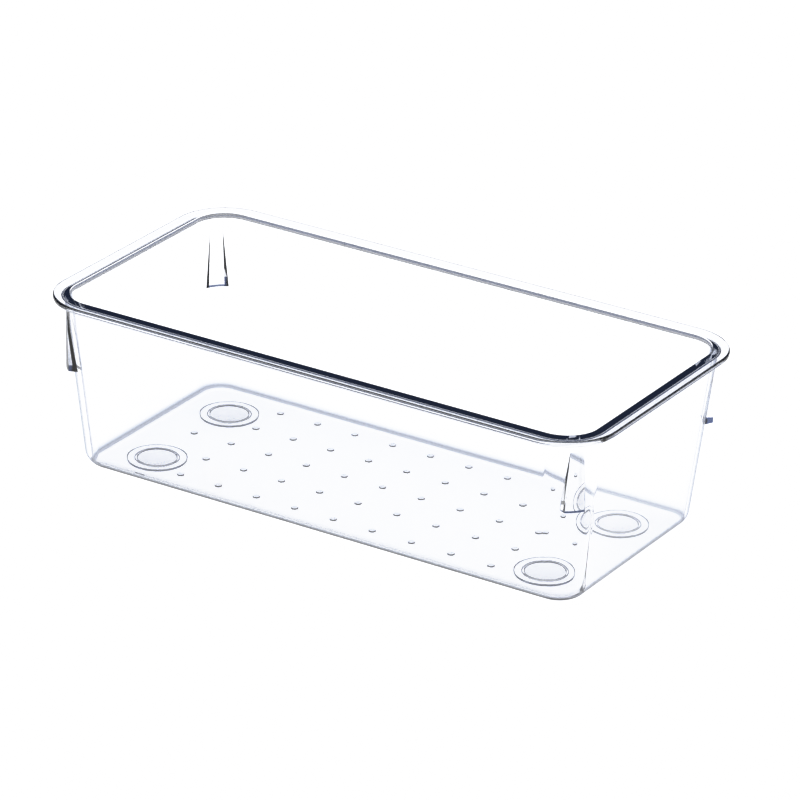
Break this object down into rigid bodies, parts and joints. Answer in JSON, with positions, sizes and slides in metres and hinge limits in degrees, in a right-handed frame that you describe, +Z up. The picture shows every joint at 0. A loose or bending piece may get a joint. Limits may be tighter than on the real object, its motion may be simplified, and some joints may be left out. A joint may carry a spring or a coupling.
{
  "type": "fridge bin",
  "caption": "Clear open-top rectangular storage bin with a flanged rim, rounded drafted walls, corner nesting lugs, a dotted floor and silicone foot pads held in moulded foot rings.",
  "frame": {"origin": "middle of the footprint, on the plane that the foot pads stand on", "axes": "+X along the bin's length, +Y across it towards the rear, +Z up through the open top"},
  "size_m": [0.24, 0.121, 0.0726],
  "materials": {
    "clear_plastic": "polished, crystal-clear moulded styrene",
    "clear_silicone": "smooth translucent silicone"
  },
  "bodies": {
    "root": {"bin_body": "clear_plastic", "foot_pad_front_left": "clear_silicone", "foot_pad_front_right": "clear_silicone", "foot_pad_rear_left": "clear_silicone", "foot_pad_rear_right": "clear_silicone"}
  },
  "joints": []
}
